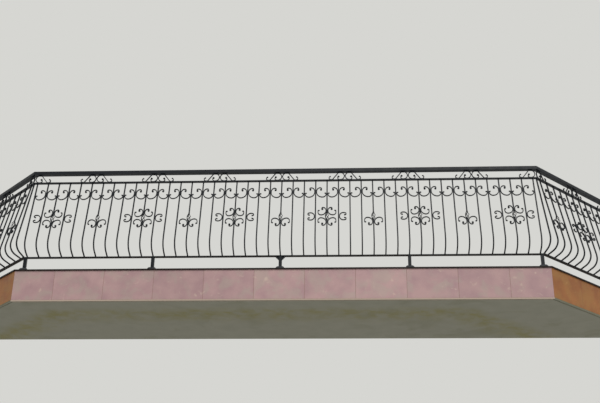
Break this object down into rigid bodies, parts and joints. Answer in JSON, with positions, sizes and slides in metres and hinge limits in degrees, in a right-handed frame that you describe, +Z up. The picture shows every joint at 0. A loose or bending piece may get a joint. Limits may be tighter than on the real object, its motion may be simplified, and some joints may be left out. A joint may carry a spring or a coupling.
{
  "type": "wrought iron balcony",
  "caption": "Bay-shaped balcony: a tiled concrete slab with a forged railing of bellied balusters, scroll work, twisted baskets and a scrolled frieze under the handrail.",
  "frame": {"origin": "middle of the slab's flat back face, where it meets the house wall, at half the slab's height", "axes": "+X right along the wall as seen from the street, +Y into the house, +Z up"},
  "size_m": [7.6592, 1.3162, 1.451],
  "materials": {
    "concrete": "plain cast concrete",
    "plaster": "floated cement plaster",
    "deck_tile": "matt floor tiles",
    "front_tile": "matt pinkish beige tiles",
    "side_tile": "matt terracotta tiles",
    "drip_metal": "dark brown coated",
    "iron_paint": "satin graphite paint on forged iron"
  },
  "bodies": {
    "root": {"slab": "concrete", "soffit": "plaster", "deck": "deck_tile", "fascia_front": "front_tile", "fascia_left": "side_tile", "fascia_right": "side_tile", "drip_edge_front": "drip_metal", "drip_edge_left": "drip_metal", "drip_edge_right": "drip_metal", "handrail_front": "iron_paint", "handrail_left": "iron_paint", "handrail_right": "iron_paint", "upper_rail_front": "iron_paint", "upper_rail_left": "iron_paint", "upper_rail_right": "iron_paint", "bottom_rail_front": "iron_paint", "bottom_rail_left": "iron_paint", "bottom_rail_right": "iron_paint", "leg_corner_left": "iron_paint", "leg_front_left": "iron_paint", "leg_front_middle": "iron_paint", "leg_front_right": "iron_paint", "leg_corner_right": "iron_paint", "wall_strap_left": "iron_paint", "wall_strap_right": "iron_paint", "balusters_front_1": "iron_paint", "balusters_front_2": "iron_paint", "balusters_front_3": "iron_paint", "balusters_front_4": "iron_paint", "balusters_left": "iron_paint", "balusters_right": "iron_paint", "scroll_row_front": "iron_paint", "scroll_row_left": "iron_paint", "scroll_row_right": "iron_paint", "rosettes_front": "iron_paint", "rosettes_left": "iron_paint", "rosettes_right": "iron_paint", "fleurs_front": "iron_paint", "fleurs_left": "iron_paint", "fleurs_right": "iron_paint", "baskets_front": "iron_paint", "baskets_left": "iron_paint", "baskets_right": "iron_paint", "frieze_front": "iron_paint", "frieze_left": "iron_paint", "frieze_right": "iron_paint"}
  },
  "joints": []
}
